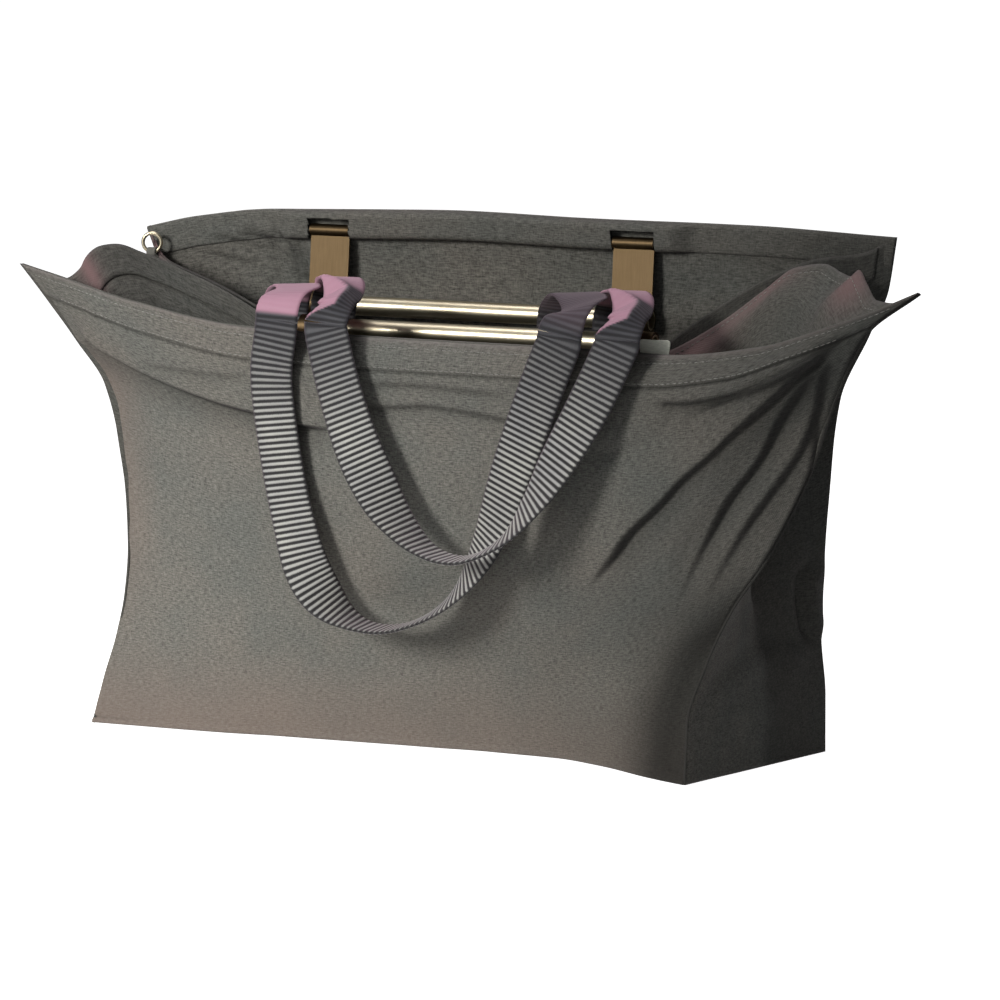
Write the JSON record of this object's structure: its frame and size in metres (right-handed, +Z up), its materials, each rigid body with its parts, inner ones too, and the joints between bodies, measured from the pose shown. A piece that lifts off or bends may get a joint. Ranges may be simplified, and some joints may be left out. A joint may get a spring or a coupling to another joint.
{
  "type": "knitting bag",
  "caption": "Soft grey fabric tote for knitting or shopping, with folded side gussets, webbing handles and fold-out metal hanger bows at the mouth.",
  "frame": {"origin": "on the floor, at the middle of the base", "axes": "+X along the width of the bag, to the right seen from the front; +Z up; -Y is the front, where the handles hang"},
  "size_m": [0.5108, 0.1681, 0.2777],
  "materials": {
    "shell_fabric": "matte charcoal melange canvas with stitched hems",
    "webbing": "ribbed grey webbing with a faint mauve sheen on top",
    "board": "matte",
    "hinge_steel": "plain drawn wire",
    "champagne_tube": "satin champagne anodised",
    "bronze_strip": "satin bronze coating",
    "label": "white woven tape, blank",
    "ring_metal": "satin bronze"
  },
  "bodies": {
    "bag": {"front_panel": "shell_fabric", "back_panel": "shell_fabric", "left_gusset": "shell_fabric", "right_gusset": "shell_fabric", "bottom_panel": "shell_fabric", "front_hem": "shell_fabric", "back_hem": "shell_fabric", "left_gusset_hem": "shell_fabric", "right_gusset_hem": "shell_fabric", "front_rod_casing": "shell_fabric", "rear_rod_casing": "shell_fabric", "ring_tab": "shell_fabric", "front_handle_roots": "webbing", "rear_handle_roots": "webbing", "base_board": "board", "front_hem_rod": "hinge_steel", "rear_hem_rod": "hinge_steel", "rim_label": "label", "corner_ring": "ring_metal"},
    "front_bow": {"front_bow_rod": "champagne_tube", "front_arm_left": "bronze_strip", "front_arm_right": "bronze_strip"},
    "rear_bow": {"rear_bow_rod": "champagne_tube", "rear_arm_left": "bronze_strip", "rear_arm_right": "bronze_strip"},
    "front_handle": {"front_handle_loop": "webbing"},
    "rear_handle": {"rear_handle_loop": "webbing"}
  },
  "joints": [
    {"name": "front_bow_swing", "type": "hinge", "parent": "bag", "child": "front_bow", "pos_m": [0.044, -0.06231, 0.2128], "axis": [1, 0, 0], "range_deg": [-86, 20]},
    {"name": "rear_bow_swing", "type": "hinge", "parent": "bag", "child": "rear_bow", "pos_m": [0.017, 0.04301, 0.26338], "axis": [-1, 0, 0], "range_deg": [0, 165]},
    {"name": "front_handle_swing", "type": "hinge", "parent": "bag", "child": "front_handle", "pos_m": [0.039, -0.085, 0.2295], "axis": [-1, 0, 0], "range_deg": [0, 155]},
    {"name": "rear_handle_swing", "type": "hinge", "parent": "bag", "child": "rear_handle", "pos_m": [0.0685, -0.085, 0.2295], "axis": [-1, 0, 0], "range_deg": [0, 155]}
  ],
  "couplings": [
    {"joint": "rear_handle_swing", "follows": "front_handle_swing", "ratio": 1}
  ]
}
